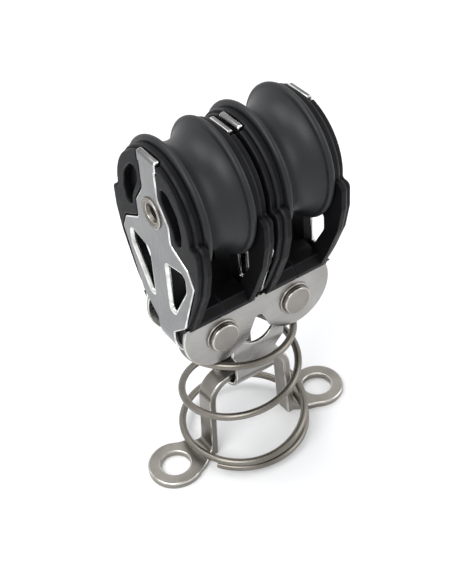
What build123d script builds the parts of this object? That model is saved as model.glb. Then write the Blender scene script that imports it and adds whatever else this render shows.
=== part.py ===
"""Double stand-up block: two ball-bearing sheaves side by side on a sprung saddle.

X runs along the sheave axles, Y is fore and aft, Z is up. The origin lies on the deck,
midway between the two saddle feet. Drops are measured down from the axles.
"""
import os
from math import asin, atan, cos, degrees, radians, sin, sqrt

from build123d import *

os.makedirs("parts", exist_ok=True)

# Sheaves and their ball races
axle_height = 55.1          # deck to sheave axles
block_pitch = 14.1          # between the two blocks' middle planes
sheave_radius = 11.0
sheave_width = 8.8
rim_thickness = 1.2         # a flange's rounded rim
groove_depth = 2.3
web_recess = 0.7            # depth of the dished sides
hub_wall = 1.3              # sheave wall outside the ball race
ball_diameter = 2.6
ball_row_offset = 1.75      # middle plane to each row of balls
ball_gap = 0.2              # least gap between two balls
ball_play = 0.04            # radial play on each side of a ball
race_lip_height = 0.45      # lip that keeps the balls in the bore
race_wall = 0.7
lip_clearance = 0.2         # balls to the lips beside them

# Axles
axle_radius = 1.9
axle_bore_radius = 1.35
axle_head_radius = 2.6
axle_head_height = 0.3
axle_clearance = 0.03

# Cheeks
side_clearance = 0.2        # sheave side to cheek
cheek_wall = 1.3
cheek_top_radius = 10.2
ear_half_width = 11.9
ear_top_drop = 0.4
ear_bottom_drop = 5.0
ear_corner_radius = 1.4
flank_upper = (10.9, 9.5)   # half width and drop
shoulder_drop = 19.7        # axle to the shoulder that rests on the plates
shoulder_half_width = 6.2
flank_lower = (8.5, 4.7)    # half width and height over the shoulder
brow = (6.7, 1.1)           # fullest point of the base, over the shoulder
base_top_corner = (5.75, 2.7)
base_crown = 3.55           # crown of the base, over the shoulder
base_depth = 7.9            # shoulder to the base's underside
base_half_width = 5.0       # also where the plates' inner faces lie
base_corner_radius = 4.4    # rounds the base where the strap goes under it
pad_height = 0.45           # raised face round the strap
pad_inset = 0.45
seat_clearance = 0.25       # raised face to strap edge
pocket = [(3.1, 6.2), (5.0, 6.1), (7.2, 3.6), (7.9, 0.6), (7.5, -2.0), (5.8, -2.2), (5.4, 0.3), (3.1, 3.7)]
pocket_corner_radius = 0.7
pocket_depth = 0.6
window_gap = 0.15           # cheek window behind the strap's window
cheek_edge = 0.35

# Straps
strap_sheet = 0.8
strap_top = 9.4             # flat top of the folded tab, over the axle
tab_length = 1.0
tab_half_width = 2.4
tab_height = 1.4
tab_bend_radius = 0.5
tab_clearance = 0.15        # tab to its notch in the cheek
neck_half_width = 2.1
neck_bottom = 3.4
collar_half_width = 4.45
collar_drop = 3.3
strap_shoulder = (8.6, 5.5)
strap_widest = (9.9, 8.2)
strap_lower = (6.0, 1.0)    # half width and height over the shoulder of the cheeks
tail_half_width = 2.3
tail_top = 2.3              # below the shoulder of the cheeks
strap_base_gap = 0.12       # strap to the underside of the base
window_inner = 2.45
window_outer = (7.4, 8.1)
window_top_inner_drop = 9.1
window_side_drop = 11.0
window_bottom_height = 1.8  # over the shoulder of the cheeks
window_tip_width = 0.9
window_corner_radius = 0.8

# Bracket plates and yoke, measured down from the shoulder
plate_sheet = 0.6
lobe_radius = 6.85
lobe_offset = 7.15          # middle of the bracket to the lobes' centres
lobe_centre = 2.9
notch_top = 3.7
notch_half_width = 2.2
notch_bottom = 7.7
notch_radius = 0.8
yoke_sheet = 0.6
yoke_top = 8.3
yoke_arc_depth = 1.9        # hollow in an arm's top edge
yoke_arc_half_width = 3.0
yoke_top_half_width = 5.05
yoke_shoulder = 11.5
yoke_neck = 14.1
yoke_bottom_half_width = 3.8
yoke_elbow = 10.8           # where the arms turn inwards
yoke_loop_radius = 3.6
yoke_loop_centre = 17.8

# Rivets
rivet_fall = 4.3            # below the shoulder
rivet_radius = 1.5
rivet_clearance = 0.03
rivet_head_radius = 2.6
rivet_head_height = 1.1
rivet_collar_radius = 2.95
rivet_collar_height = 0.3
rivet_edge = 0.25

# Saddle
saddle_sheet = 1.3
bar_play = 0.4              # least gap between the bar and the yoke's loop
hole_pitch = 31.0
hole_radius = 2.6
foot_radius = 4.8
foot_neck = (11.2, 3.4)     # distance out and half width
leg_foot_x = 8.9            # outer face of a leg at the foot
leg_top_x = 8.3             # outer face of a leg at the top bend
bar_half_width = 1.75
top_bend_radius = 4.6
foot_bend_radius = 1.5

# Spring
wire_diameter = 1.06
wire_gap = 0.06             # between the closed turn and the next
spring_bottom_radius = 10.9
spring_top_radius = 9.4
spring_turns = 2.25         # working turns above the closed one
spring_start = 211.0        # degrees round from +X to the free end
spring_head_gap = 0.15      # top of the spring to the plates

cheek_inner = sheave_width / 2 + side_clearance
cheek_outer = cheek_inner + cheek_wall
strap_outer = cheek_outer + strap_sheet
base_bottom_drop = shoulder_drop + base_depth
strap_bottom_drop = base_bottom_drop + strap_base_gap + strap_sheet
rivet_drop = shoulder_drop + rivet_fall
loop_inner_radius = yoke_loop_radius - yoke_sheet
loop_drop = shoulder_drop + yoke_loop_centre
saddle_height = axle_height - loop_drop - sqrt((loop_inner_radius - bar_play) ** 2 - bar_half_width**2) + saddle_sheet
race_radius = axle_radius + axle_clearance + race_wall
ball_circle = race_radius + ball_play + ball_diameter / 2
sheave_bore = ball_circle + ball_diameter / 2 + ball_play
groove_radius = sheave_radius - groove_depth
blocks = {"left": -block_pitch / 2, "right": block_pitch / 2}


def side_plane(x, outward):
    """Plane across an axle at x: local X is fore and aft, local Y is up, its normal points outward."""
    return Plane(origin=(x, 0, axle_height), x_dir=(0, outward, 0), z_dir=(outward, 0, 0))


def front_plane(x, y, z):
    """Plane that faces forward through a point: local X runs along the axles, local Y is up."""
    return Plane(origin=(x, y, z), x_dir=(1, 0, 0), z_dir=(0, -1, 0))


def finish(piece, name):
    """Label a finished piece and write it."""
    piece.part.label = name
    export_step(piece.part, f"parts/{name}.step")


def mirrored_outline(points, radii):
    """Closed outline from one side's (half width, drop) corners and the radius at each."""
    right = [(half, -drop) for half, drop in points]
    left = [(-half, height) for half, height in reversed(right)]
    FilletPolyline(*right, *left, radius=[*radii, *reversed(radii)], close=True)


def strap_outline():
    """Side view of a strap: tab, neck, collar, spread shoulders and tail."""
    mirrored_outline(
        [
            (tab_half_width, -strap_top),
            (tab_half_width, tab_height - strap_top),
            (neck_half_width, tab_height - strap_top),
            (neck_half_width, -neck_bottom),
            (collar_half_width, 0),
            (collar_half_width, collar_drop),
            strap_shoulder,
            strap_widest,
            (strap_lower[0], shoulder_drop - strap_lower[1]),
            (tail_half_width, shoulder_drop + tail_top),
            (tail_half_width, strap_bottom_drop),
        ],
        [0, 0, 0, 1.5, 1.5, 1.0, 0.7, 0.7, 1.6, 1.0, 0],
    )


def window_outline(way, growth=0.0):
    """One of the rounded triangular windows beside a strap's middle, grown all round."""
    inner = window_inner - growth
    outer = window_outer[0] + growth
    FilletPolyline(
        (way * inner, growth - window_top_inner_drop),
        (way * outer, growth - window_outer[1]),
        (way * outer, -window_side_drop),
        (way * (inner + window_tip_width + 2 * growth), window_bottom_height - shoulder_drop - growth),
        (way * inner, window_bottom_height - shoulder_drop - growth),
        radius=[window_corner_radius, window_corner_radius, 1.5, 0.4, 0.4],
        close=True,
    )


def make_sheave(name, centre):
    """Grooved wheel with dished sides and a lipped bore for two rows of balls."""
    half = sheave_width / 2
    rim = half - rim_thickness
    round_radius = rim_thickness / 2
    hub_radius = sheave_bore + hub_wall
    web_radius = groove_radius - hub_wall / 2
    lip_radius = sheave_bore - race_lip_height
    lip_inner = ball_row_offset + ball_diameter / 2 + lip_clearance
    edge = [
        (half, sheave_radius - round_radius),
        (half, web_radius + web_recess),
        (half - web_recess, web_radius),
        (half - web_recess, hub_radius + web_recess),
        (half, hub_radius),
        (half, lip_radius),
        (lip_inner, lip_radius),
        (lip_inner, sheave_bore),
    ]
    with BuildPart() as sheave:
        with BuildSketch(front_plane(centre, 0, axle_height)):
            with BuildLine():
                Polyline(*edge, *[(-x, radius) for x, radius in reversed(edge)])
                for way in (-1, 1):
                    ThreePointArc(
                        (way * half, sheave_radius - round_radius),
                        (way * (half - round_radius), sheave_radius),
                        (way * rim, sheave_radius - round_radius),
                    )
                ThreePointArc(
                    (rim, sheave_radius - round_radius),
                    (0, groove_radius),
                    (-rim, sheave_radius - round_radius),
                )
            make_face()
        revolve(axis=Axis((centre, 0, axle_height), (1, 0, 0)))
    finish(sheave, name)


def make_race(name, centre):
    """Sleeve on the axle between the cheeks, on which the balls run."""
    with BuildPart() as race:
        with BuildSketch(side_plane(centre, 1)):
            Circle(race_radius)
            Circle(axle_radius + axle_clearance, mode=Mode.SUBTRACT)
        extrude(amount=cheek_inner, both=True)
    finish(race, name)


def make_balls(name, centre):
    """Two rows of loose balls between a sleeve and its sheave."""
    spacing = degrees(2 * asin((ball_diameter + ball_gap) / 2 / ball_circle))
    count = int(360 // spacing)
    with BuildPart() as balls:
        for row in (-ball_row_offset, ball_row_offset):
            with Locations(side_plane(centre + row, 1)):
                with PolarLocations(ball_circle, count):
                    Sphere(ball_diameter / 2)
    finish(balls, name)


def make_axle(name, centre):
    """Hollow axle with a flared head on each end, riveted over the strap."""
    end = strap_outer + axle_head_height
    with BuildPart() as axle:
        with BuildSketch(front_plane(centre, 0, axle_height)):
            with BuildLine():
                Polyline(
                    (-end, axle_bore_radius),
                    (end, axle_bore_radius),
                    (end, axle_head_radius),
                    (strap_outer, axle_head_radius),
                    (strap_outer, axle_radius),
                    (-strap_outer, axle_radius),
                    (-strap_outer, axle_head_radius),
                    (-end, axle_head_radius),
                    close=True,
                )
            make_face()
        revolve(axis=Axis((centre, 0, axle_height), (1, 0, 0)))
        fillet(axle.edges().filter_by(GeomType.CIRCLE).group_by(Axis.X)[0], axle_head_height / 3)
        fillet(axle.edges().filter_by(GeomType.CIRCLE).group_by(Axis.X)[-1], axle_head_height / 3)
    finish(axle, name)


def make_cheek(name, centre, outward):
    """Moulded cheek with its half of the block's base; the halves meet at the block's middle."""
    middle = side_plane(centre, outward)
    inner = side_plane(centre + outward * cheek_inner, outward)
    outer = side_plane(centre + outward * cheek_outer, outward)
    flank = [
        (ear_half_width, ear_top_drop),
        (ear_half_width, ear_bottom_drop),
        flank_upper,
        (flank_lower[0], shoulder_drop - flank_lower[1]),
        (shoulder_half_width, shoulder_drop),
    ]
    base = [
        (base_top_corner[0], base_top_corner[1] - shoulder_drop),
        (brow[0], brow[1] - shoulder_drop),
        (shoulder_half_width, -shoulder_drop),
        (base_half_width, -shoulder_drop),
        (base_half_width, -base_bottom_drop),
    ]
    with BuildPart() as cheek:
        with BuildSketch(inner):
            Circle(cheek_top_radius)
            with BuildLine():
                mirrored_outline(flank, [ear_corner_radius, 2.0, 3.0, 3.0, 0])
            make_face()
        extrude(amount=cheek_wall)
        rim_face = cheek.faces().filter_by(Axis.X).sort_by(Axis.X)[-1 if outward > 0 else 0]
        chamfer(rim_face.edges(), cheek_edge)
        with BuildSketch(middle):
            with BuildLine():
                Polyline(*base, *[(-half, height) for half, height in reversed(base)])
                ThreePointArc(base[0], (0, base_crown - shoulder_drop), (-base[0][0], base[0][1]))
            make_face()
        extrude(amount=cheek_outer)
        low_edges = cheek.edges().filter_by(Axis.Y).group_by(Axis.Z)[0]
        fillet(low_edges.sort_by(Axis.X)[-1 if outward > 0 else 0], base_corner_radius)
        with BuildSketch(outer):
            Circle(cheek_top_radius)
            with BuildLine():
                mirrored_outline(flank, [ear_corner_radius, 2.0, 3.0, 3.0, 0])
            make_face()
            offset(amount=-pad_inset)
        extrude(amount=pad_height)
        with BuildSketch(outer):
            with BuildLine():
                strap_outline()
            make_face()
            offset(amount=seat_clearance)
        extrude(amount=pad_height, mode=Mode.SUBTRACT)
        with BuildSketch(outer.offset(pad_height)):
            for way in (-1, 1):
                with BuildLine():
                    FilletPolyline(
                        *[(way * y, z) for y, z in pocket],
                        radius=pocket_corner_radius,
                        close=True,
                    )
                make_face()
        extrude(amount=-(pad_height + pocket_depth), mode=Mode.SUBTRACT)
        with BuildSketch(outer):
            for way in (-1, 1):
                with BuildLine():
                    window_outline(way, window_gap)
                make_face()
        extrude(amount=-cheek_wall, mode=Mode.SUBTRACT)
        with BuildSketch(outer.offset(pad_height)):
            with Locations((0, cheek_top_radius)):
                Rectangle(
                    2 * (tab_half_width + tab_clearance),
                    2 * (cheek_top_radius - strap_top + strap_sheet + tab_clearance),
                )
        extrude(amount=strap_outer - tab_length - tab_clearance - cheek_outer - pad_height, mode=Mode.SUBTRACT)
        with BuildSketch(middle):
            Circle(axle_radius + axle_clearance)
        extrude(amount=strap_outer, mode=Mode.SUBTRACT)
        with BuildSketch(front_plane(centre, 0, axle_height - rivet_drop)):
            Circle(rivet_radius + rivet_clearance)
        extrude(amount=base_half_width, both=True, mode=Mode.SUBTRACT)
    finish(cheek, name)


def make_strap(name, centre):
    """One sheet strap folded under the base, with its ends hooked over both cheeks."""
    tab_end = strap_outer - tab_length
    with BuildPart() as strap:
        with BuildSketch(front_plane(centre, 0, axle_height)):
            with BuildLine():
                mirrored_outline(
                    [
                        (tab_end, -strap_top),
                        (strap_outer, -strap_top),
                        (strap_outer, strap_bottom_drop),
                    ],
                    [0, tab_bend_radius, base_corner_radius + strap_sheet],
                )
            make_face()
            with BuildLine():
                mirrored_outline(
                    [
                        (cheek_outer, -strap_top + strap_sheet),
                        (cheek_outer, strap_bottom_drop - strap_sheet),
                    ],
                    [0, base_corner_radius],
                )
            make_face(mode=Mode.SUBTRACT)
            with BuildLine():
                mirrored_outline(
                    [
                        (tab_end, -strap_top - strap_sheet),
                        (tab_end, -strap_top + 2 * strap_sheet),
                    ],
                    [0, 0],
                )
            make_face(mode=Mode.SUBTRACT)
        extrude(amount=strap_widest[0] + strap_sheet, both=True)
        with BuildSketch(side_plane(centre, 1)):
            with BuildLine():
                strap_outline()
            make_face()
        extrude(amount=strap_outer, both=True, mode=Mode.INTERSECT)
        with BuildSketch(side_plane(centre, 1)):
            for way in (-1, 1):
                with BuildLine():
                    window_outline(way)
                make_face()
            Circle(axle_radius + axle_clearance)
        extrude(amount=strap_outer, both=True, mode=Mode.SUBTRACT)
    finish(strap, name)


def make_plate(name, forward):
    """Front or back sheet that ties the two blocks: a round lobe on each rivet and a notch between."""
    y = forward * base_half_width
    lobe_drop = shoulder_drop + lobe_centre
    with BuildPart() as plate:
        with BuildSketch(front_plane(0, y, axle_height)):
            for way in (-1, 1):
                with Locations((way * lobe_offset, -lobe_drop)):
                    Circle(lobe_radius)
            with Locations((0, -shoulder_drop)):
                Rectangle(2 * lobe_offset, notch_bottom, align=(Align.CENTER, Align.MAX))
            with BuildLine():
                FilletPolyline(
                    (0, notch_radius - shoulder_drop - notch_top),
                    (notch_half_width, -shoulder_drop - notch_bottom),
                    (notch_half_width, -lobe_drop - lobe_radius),
                    (-notch_half_width, -lobe_drop - lobe_radius),
                    (-notch_half_width, -shoulder_drop - notch_bottom),
                    radius=[notch_radius, 0, 0, 0, 0],
                    close=True,
                )
            make_face(mode=Mode.SUBTRACT)
            with Locations((0, -shoulder_drop)):
                Rectangle(
                    4 * lobe_offset,
                    lobe_radius,
                    align=(Align.CENTER, Align.MIN),
                    mode=Mode.SUBTRACT,
                )
            for rivet_x in blocks.values():
                with Locations((rivet_x, -rivet_drop)):
                    Circle(rivet_radius + rivet_clearance, mode=Mode.SUBTRACT)
        extrude(amount=-forward * plate_sheet)
    finish(plate, name)


def make_yoke():
    """Sheet looped under the saddle bar; its two arms rise behind the plates."""
    outer = base_half_width
    top_drop = shoulder_drop + yoke_top
    above = 2 * yoke_sheet
    with BuildPart() as yoke:
        with BuildSketch(side_plane(0, 1)):
            with BuildLine():
                mirrored_outline(
                    [
                        (outer, top_drop - above),
                        (outer, shoulder_drop + yoke_elbow),
                        (yoke_loop_radius, loop_drop - yoke_loop_radius / 2),
                        (yoke_loop_radius, loop_drop),
                    ],
                    [0, yoke_loop_radius, yoke_loop_radius, 0],
                )
            make_face()
            with Locations((0, -loop_drop)):
                Circle(yoke_loop_radius)
            offset(amount=-yoke_sheet, mode=Mode.SUBTRACT)
            with Locations((0, -top_drop)):
                Rectangle(2 * outer, 2 * above, align=(Align.CENTER, Align.MIN), mode=Mode.SUBTRACT)
        extrude(amount=yoke_top_half_width, both=True)
        with BuildSketch(front_plane(0, 0, axle_height)):
            with BuildLine():
                mirrored_outline(
                    [
                        (yoke_top_half_width, top_drop),
                        (yoke_top_half_width, shoulder_drop + yoke_shoulder),
                        (yoke_bottom_half_width, shoulder_drop + yoke_neck),
                        (yoke_bottom_half_width, loop_drop + yoke_loop_radius),
                    ],
                    [0.3, 1.2, 2.0, 0],
                )
            make_face()
            with BuildLine():
                ThreePointArc(
                    (-yoke_arc_half_width, -top_drop),
                    (0, -top_drop - yoke_arc_depth),
                    (yoke_arc_half_width, -top_drop),
                )
                Line((yoke_arc_half_width, -top_drop), (-yoke_arc_half_width, -top_drop))
            make_face(mode=Mode.SUBTRACT)
        extrude(amount=outer, both=True, mode=Mode.INTERSECT)
    finish(yoke, "yoke")


def make_rivet(name, centre):
    """Rivet through a base and both plates, with a collar and a flat round head at each end."""
    collar = base_half_width + plate_sheet
    head = collar + rivet_collar_height
    end = collar + rivet_head_height
    half = [
        (end, rivet_head_radius - rivet_edge),
        (end - rivet_edge, rivet_head_radius),
        (head, rivet_head_radius),
        (head, rivet_collar_radius),
        (collar, rivet_collar_radius),
        (collar, rivet_radius),
    ]
    with BuildPart() as rivet:
        with BuildSketch(side_plane(centre, 1)):
            with BuildLine():
                Polyline(
                    (-end, -rivet_drop),
                    *[(-y, radius - rivet_drop) for y, radius in half],
                    *[(y, radius - rivet_drop) for y, radius in reversed(half)],
                    (end, -rivet_drop),
                    close=True,
                )
            make_face()
        revolve(axis=Axis((centre, 0, axle_height - rivet_drop), (0, 1, 0)))
    finish(rivet, name)


def make_saddle():
    """Bent strip: two drilled feet, two legs and the bar that the yoke hangs on."""
    half_pitch = hole_pitch / 2
    tip = half_pitch + foot_radius
    under = saddle_height - saddle_sheet
    with BuildPart() as saddle:
        with BuildSketch(front_plane(0, 0, 0)):
            with BuildLine():
                mirrored_outline(
                    [
                        (tip, 0),
                        (tip, -saddle_sheet),
                        (leg_foot_x, -saddle_sheet),
                        (leg_top_x, -saddle_height),
                    ],
                    [0, 0, foot_bend_radius, top_bend_radius],
                )
            make_face()
            with BuildLine():
                mirrored_outline(
                    [
                        (leg_foot_x - saddle_sheet, 0),
                        (leg_top_x - saddle_sheet, -under),
                    ],
                    [0, top_bend_radius - saddle_sheet],
                )
            make_face(mode=Mode.SUBTRACT)
        extrude(amount=foot_radius, both=True)
        with BuildSketch():
            with BuildLine():
                mirrored_outline(
                    [
                        (leg_foot_x, -bar_half_width),
                        (foot_neck[0], -foot_neck[1]),
                        (half_pitch, -foot_radius),
                        (half_pitch, foot_radius),
                        (foot_neck[0], foot_neck[1]),
                        (leg_foot_x, bar_half_width),
                    ],
                    [1.5, 2.0, 0, 0, 2.0, 1.5],
                )
            make_face()
            with Locations((-half_pitch, 0), (half_pitch, 0)):
                Circle(foot_radius)
                Circle(hole_radius, mode=Mode.SUBTRACT)
        extrude(amount=saddle_height, mode=Mode.INTERSECT)
    finish(saddle, "saddle")


def make_spring():
    """Conical wire spring: one closed turn on the feet, then open turns up to the plates."""
    wire_radius = wire_diameter / 2
    foot = saddle_sheet + wire_radius
    closed_rise = wire_diameter + wire_gap
    top = axle_height - shoulder_drop - lobe_centre - lobe_radius - spring_head_gap - wire_radius
    rise = top - foot - closed_rise
    start = radians(spring_start)
    turn_plane = Plane(origin=(0, 0, foot), x_dir=(cos(start), sin(start), 0), z_dir=(0, 0, 1))
    cone = -degrees(atan((spring_bottom_radius - spring_top_radius) / rise))
    with BuildPart() as spring:
        with BuildLine(turn_plane) as wire:
            closed = Helix(closed_rise, closed_rise, spring_bottom_radius)
            Helix(
                rise / spring_turns,
                rise,
                spring_bottom_radius,
                center=(0, 0, closed_rise),
                cone_angle=cone,
            )
        with BuildSketch(Plane(closed @ 0, z_dir=closed % 0)):
            Circle(wire_radius)
        sweep(path=wire.wire(), is_frenet=True)
    finish(spring, "spring")


for side, centre in blocks.items():
    away = -1 if side == "left" else 1
    make_sheave(f"sheave_{side}", centre)
    make_race(f"race_{side}", centre)
    make_balls(f"balls_{side}", centre)
    make_axle(f"axle_{side}", centre)
    make_cheek(f"cheek_{side}_outer", centre, away)
    make_cheek(f"cheek_{side}_inner", centre, -away)
    make_strap(f"strap_{side}", centre)
    make_rivet(f"rivet_{side}", centre)
make_plate("front_plate", -1)
make_plate("back_plate", 1)
make_yoke()
make_saddle()
make_spring()
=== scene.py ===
"""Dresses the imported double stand-up block: two sheaves side by side over a sprung saddle.

Every size is in millimetres in the row's frame (X along the axles, Z up from the deck)
and becomes metres as its mesh is made.
"""
from __future__ import annotations

import logging
import math
from collections.abc import Callable
from dataclasses import dataclass
from enum import Enum

import bmesh
import bpy
from bmesh.types import BMEdge, BMFace, BMesh
from bpy.types import Camera, Light, Material, Mesh, Node, NodeSocket, NodeTree, Object, World
from mathutils import Matrix, Vector

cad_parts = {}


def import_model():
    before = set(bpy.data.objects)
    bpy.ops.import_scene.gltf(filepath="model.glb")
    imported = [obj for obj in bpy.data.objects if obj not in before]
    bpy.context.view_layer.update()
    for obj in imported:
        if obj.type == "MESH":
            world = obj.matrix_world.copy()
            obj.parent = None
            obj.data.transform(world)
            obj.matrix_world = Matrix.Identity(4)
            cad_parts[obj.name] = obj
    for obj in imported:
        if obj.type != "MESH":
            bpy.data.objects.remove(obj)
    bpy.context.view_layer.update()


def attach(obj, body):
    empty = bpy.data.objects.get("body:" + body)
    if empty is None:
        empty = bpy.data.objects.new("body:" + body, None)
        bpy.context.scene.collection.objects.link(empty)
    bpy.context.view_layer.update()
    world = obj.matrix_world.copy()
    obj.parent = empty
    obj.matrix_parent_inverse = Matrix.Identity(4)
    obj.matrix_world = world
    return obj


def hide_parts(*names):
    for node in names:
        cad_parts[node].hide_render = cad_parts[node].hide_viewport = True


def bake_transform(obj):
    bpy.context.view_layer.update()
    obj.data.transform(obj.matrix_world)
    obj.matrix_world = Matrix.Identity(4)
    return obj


LOG = logging.getLogger("stand_up_block")
# Two lengths, or the two ends of a range
Pair = tuple[float, float]
MM = 0.001
# The axles' height over the deck, the distance between the blocks' middle planes, and how
# far below its axle each rivet sits
AXLE_HEIGHT = 55.1
BLOCK_PITCH = 14.1
RIVET_DROP = 24.0
# Points of the CAD mesh nearer to each other than this are one point
WELD = 0.0005
# Two places along X that differ by less than this are on one level,
LEVEL = 0.01
# and two that differ by more than this are on two
APART = 0.1
# A face whose normal's X is over this looks along X
ALONG_X = 0.9999
# A radius under this lies on the axis
ON_AXIS = 1e-6
# Edges that turn by more degrees than this are shaded as creases
SHEET_CREASE = 40.0
TURNED_CREASE = 42.0
WIRE_CREASE = 50.0
# The material slot that marks a rounding's faces until they are stored as the rim
RIM_SLOT = 1


class Side(Enum):
    """The two blocks of the pair, by the sign of their place along X."""

    LEFT = -1
    RIGHT = 1

    @property
    def word(self) -> str:
        """The side's name as the nodes use it."""
        return self.name.lower()

    @property
    def centre(self) -> float:
        """The block's middle plane along X, in millimetres."""
        return self.value * BLOCK_PITCH / 2


def linear(hex_colour: str) -> tuple[float, float, float, float]:
    """Turns an sRGB hex colour into linear RGBA.

    Args:
        hex_colour: Six hex digits with a leading hash.

    Returns:
        Linear red, green, blue and an alpha of 1.
    """
    channels = (int(hex_colour[i:i + 2], 16) / 255 for i in (1, 3, 5))
    values = [c / 12.92 if c <= 0.04045 else ((c + 0.055) / 1.055) ** 2.4 for c in channels]
    return (values[0], values[1], values[2], 1.0)


def add(tree: NodeTree, kind: str, inputs: dict | None = None, **settings: object) -> Node:
    """Adds one node with its settings, values and links.

    Args:
        tree: The node tree.
        kind: The node's type name.
        inputs: Input name or number to a value, or to the output socket that feeds it.
        settings: Properties of the node itself.

    Returns:
        The new node.
    """
    node = tree.nodes.new(kind)
    for name, value in settings.items():
        setattr(node, name, value)
    for key, value in (inputs or {}).items():
        if isinstance(value, NodeSocket):
            tree.links.new(value, node.inputs[key])
        else:
            node.inputs[key].default_value = value
    return node


def reckon(tree: NodeTree, operation: str, *terms: float | NodeSocket) -> NodeSocket:
    """Adds one step of arithmetic and returns its result."""
    return add(tree, "ShaderNodeMath", dict(enumerate(terms)), operation=operation).outputs[0]


def speckle(tree: NodeTree, coords: NodeSocket, size: float, detail: float = 3.0) -> NodeSocket:
    """Adds a noise pattern.

    Args:
        tree: The material's nodes.
        coords: Object coordinates, in metres.
        size: The pattern's grain, in millimetres.
        detail: How many finer patterns are laid over it.

    Returns:
        A number from 0 to 1.
    """
    inputs = {"Vector": coords, "Scale": per_mm(size), "Detail": detail}
    return add(tree, "ShaderNodeTexNoise", inputs).outputs["Fac"]


def remap(tree: NodeTree, value: NodeSocket, old: Pair, new: Pair) -> NodeSocket:
    """Maps the old range of a value onto a new one.

    Args:
        tree: The material's nodes.
        value: The value.
        old: The ends of its range.
        new: What the ends become.

    Returns:
        The new value.
    """
    ends = {"From Min": old[0], "From Max": old[1], "To Min": new[0], "To Max": new[1]}
    return add(tree, "ShaderNodeMapRange", {"Value": value, **ends}).outputs["Result"]


def emptied(owner: Material | World) -> NodeTree:
    """Clears the nodes of a material or a world and returns its tree."""
    owner.use_nodes = True
    owner.node_tree.nodes.clear()
    return owner.node_tree


def per_mm(size: float) -> float:
    """The texture scale, in Object coordinates, of a pattern whose grain is size mm."""
    return 1.0 / (size * MM)


@dataclass(frozen=True)
class Finish:
    """A finish named for the real material and how its surface was made.

    The colour turns to its shade in broad clouds and to its rim colour along rounded edges, in
    broken patches: a painted highlight on the steels, a painted sheen on the cheeks and a darker
    tone on the sheave. The roughness lies between two ends. Grain, relief, cloud and patch are in
    millimetres; the spans are the parts of a noise, from 0 to 1, over which colour, roughness and
    rim colour change.
    """

    name: str
    colour: str
    shade: str
    rim: str
    roughness: Pair
    rim_roughness: float
    grain: float
    relief: float
    cloud: float = 6.0
    patch: float = 2.5
    colour_span: Pair = (0.3, 0.7)
    rough_span: Pair = (0.3, 0.6)
    rim_paint_span: Pair = (0.35, 0.55)
    rim_paint_strength: Pair = (0.35, 1.0)
    grain_share: float = 0.2
    bump: float = 0.6

    def surface(self, tree: NodeTree, shader: Node, coords: NodeSocket) -> None:
        """Links colour, roughness and relief into the shader.

        Args:
            tree: The material's nodes.
            shader: The Principled shader.
            coords: Object coordinates.
        """
        cloud = speckle(tree, coords, self.cloud, detail=4.0)
        ramp = add(tree, "ShaderNodeValToRGB", {"Fac": cloud})
        stops = zip(ramp.color_ramp.elements, self.colour_span, (self.shade, self.colour))
        for stop, place, tone in stops:
            stop.position, stop.color = place, linear(tone)
        # Along rounded edges the colour turns to the rim colour: a painted highlight on the steels,
        # a painted sheen on the cheeks
        painted_rim = self.painted_rim(tree, coords)
        tones = {0: painted_rim, 6: ramp.outputs["Color"], 7: linear(self.rim)}
        colour = add(tree, "ShaderNodeMix", tones, data_type="RGBA")
        tree.links.new(colour.outputs[2], shader.inputs["Base Color"])
        grain = self.grain_field(tree, coords)
        mixed = reckon(tree, "MULTIPLY_ADD", cloud, grain, self.grain_share)
        rough = remap(tree, mixed, self.rough_span, self.roughness)
        glosses = {0: painted_rim, 2: rough, 3: self.rim_roughness}
        gloss = add(tree, "ShaderNodeMix", glosses, data_type="FLOAT")
        tree.links.new(gloss.outputs[0], shader.inputs["Roughness"])
        height = {"Height": grain, "Distance": self.relief * MM, "Strength": self.bump}
        bump = add(tree, "ShaderNodeBump", height)
        tree.links.new(bump.outputs["Normal"], shader.inputs["Normal"])

    def painted_rim(self, tree: NodeTree, coords: NodeSocket) -> NodeSocket:
        """Share of rim colour, mostly a painted highlight: full along most of each rounded edge,
        none on flats.

        Args:
            tree: The material's nodes.
            coords: Object coordinates.

        Returns:
            A number from 0 to 1.
        """
        edge = add(tree, "ShaderNodeAttribute", attribute_name="rim")
        kept = remap(tree, speckle(tree, coords, self.patch), self.rim_paint_span, self.rim_paint_strength)
        return reckon(tree, "MULTIPLY", edge.outputs["Fac"], kept)

    def grain_field(self, tree: NodeTree, coords: NodeSocket) -> NodeSocket:
        """The fine even grain of a moulded or tumbled surface."""
        return speckle(tree, coords, self.grain)

    def dress_shader(self, shader: Node) -> None:
        """Sets the values that are the same all over the surface."""

    def make(self) -> Material:
        """Builds the material, once.

        Returns:
            The material.
        """
        known = bpy.data.materials.get(self.name)
        if known is not None:
            return known
        material = bpy.data.materials.new(self.name)
        tree = emptied(material)
        out = add(tree, "ShaderNodeOutputMaterial")
        shader = add(tree, "ShaderNodeBsdfPrincipled")
        tree.links.new(shader.outputs[0], out.inputs["Surface"])
        self.dress_shader(shader)
        coords = add(tree, "ShaderNodeTexCoord").outputs["Object"]
        self.surface(tree, shader, coords)
        return material


@dataclass(frozen=True)
class MouldedPlastic(Finish):
    """Filled nylon or acetal out of a spark-eroded mould: black, with a soft sheen."""

    specular: float = 0.5
    index: float = 1.48

    def dress_shader(self, shader: Node) -> None:
        """Sets the index; the fine texture traps part of what the surface would mirror."""
        shader.inputs["IOR"].default_value = self.index
        shader.inputs["Specular IOR Level"].default_value = self.specular


@dataclass(frozen=True)
class Steel(Finish):
    """Stainless steel: grey metal that mirrors pale and dark surroundings softly."""

    def dress_shader(self, shader: Node) -> None:
        """Bare metal all through."""
        shader.inputs["Metallic"].default_value = 1.0


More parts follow.
